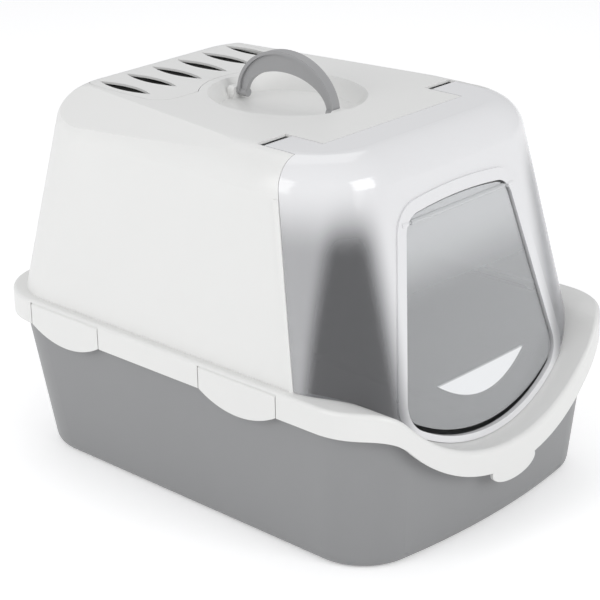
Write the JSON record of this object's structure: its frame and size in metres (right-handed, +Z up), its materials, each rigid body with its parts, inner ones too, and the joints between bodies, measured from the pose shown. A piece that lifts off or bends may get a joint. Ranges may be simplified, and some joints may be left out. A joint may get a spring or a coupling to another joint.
{
  "type": "covered litter box",
  "caption": "Covered litter box with a tapered tray, a clip-on hood, a hinged front visor with a swing flap, a folding carry handle and a vented filter cover.",
  "frame": {"origin": "on the floor, centre of the bounding box", "axes": "+X to the right seen from the entrance, +Y to the rear, +Z up"},
  "size_m": [0.4, 0.56, 0.4355],
  "materials": {
    "grey_plastic": "moulded mid grey polypropylene, fine satin",
    "white_plastic": "moulded off-white polypropylene, satin",
    "smoked_plastic": "translucent silver-grey plastic, smooth",
    "clear_plastic": "see-through grey-tinted plastic, smooth",
    "handle_plastic": "moulded grey plastic, satin",
    "carbon_felt": "black carbon-filled felt",
    "pin_steel": "plain steel pin"
  },
  "bodies": {
    "base": {"tray": "grey_plastic", "hood": "white_plastic", "hinge_pin_left": "pin_steel", "hinge_pin_right": "pin_steel", "carbon_filter": "carbon_felt"},
    "visor": {"visor": "smoked_plastic"},
    "flap": {"flap": "clear_plastic"},
    "handle": {"handle": "handle_plastic"},
    "filter_cover": {"filter_cover": "white_plastic"},
    "latch_front_left": {"latch_front_left": "white_plastic"},
    "latch_front_right": {"latch_front_right": "white_plastic"},
    "latch_rear_left": {"latch_rear_left": "white_plastic"},
    "latch_rear_right": {"latch_rear_right": "white_plastic"}
  },
  "joints": [
    {"name": "visor_hinge", "type": "hinge", "parent": "base", "child": "visor", "pos_m": [0, -0.088, 0.383], "axis": [-1, 0, 0], "range_deg": [0, 95]},
    {"name": "flap_swing", "type": "hinge", "parent": "visor", "child": "flap", "pos_m": [0, -0.2039, 0.323], "axis": [1, 0, 0], "range_deg": [-70, 70]},
    {"name": "handle_fold", "type": "hinge", "parent": "base", "child": "handle", "pos_m": [0, 0.018, 0.382], "axis": [0, 1, 0], "range_deg": [-84, 84]},
    {"name": "cover_lift", "type": "slide", "parent": "base", "child": "filter_cover", "axis": [0, 0, 1], "range_m": [0, 0.06]},
    {"name": "latch_front_left_pivot", "type": "hinge", "parent": "base", "child": "latch_front_left", "pos_m": [-0.1968, -0.0965, 0.1705], "axis": [0, 1, 0], "range_deg": [0, 60]},
    {"name": "latch_front_right_pivot", "type": "hinge", "parent": "base", "child": "latch_front_right", "pos_m": [0.1968, -0.0965, 0.1705], "axis": [0, -1, 0], "range_deg": [0, 60]},
    {"name": "latch_rear_left_pivot", "type": "hinge", "parent": "base", "child": "latch_rear_left", "pos_m": [-0.1968, 0.1535, 0.1705], "axis": [0, 1, 0], "range_deg": [0, 60]},
    {"name": "latch_rear_right_pivot", "type": "hinge", "parent": "base", "child": "latch_rear_right", "pos_m": [0.1968, 0.1535, 0.1705], "axis": [0, -1, 0], "range_deg": [0, 60]}
  ]
}
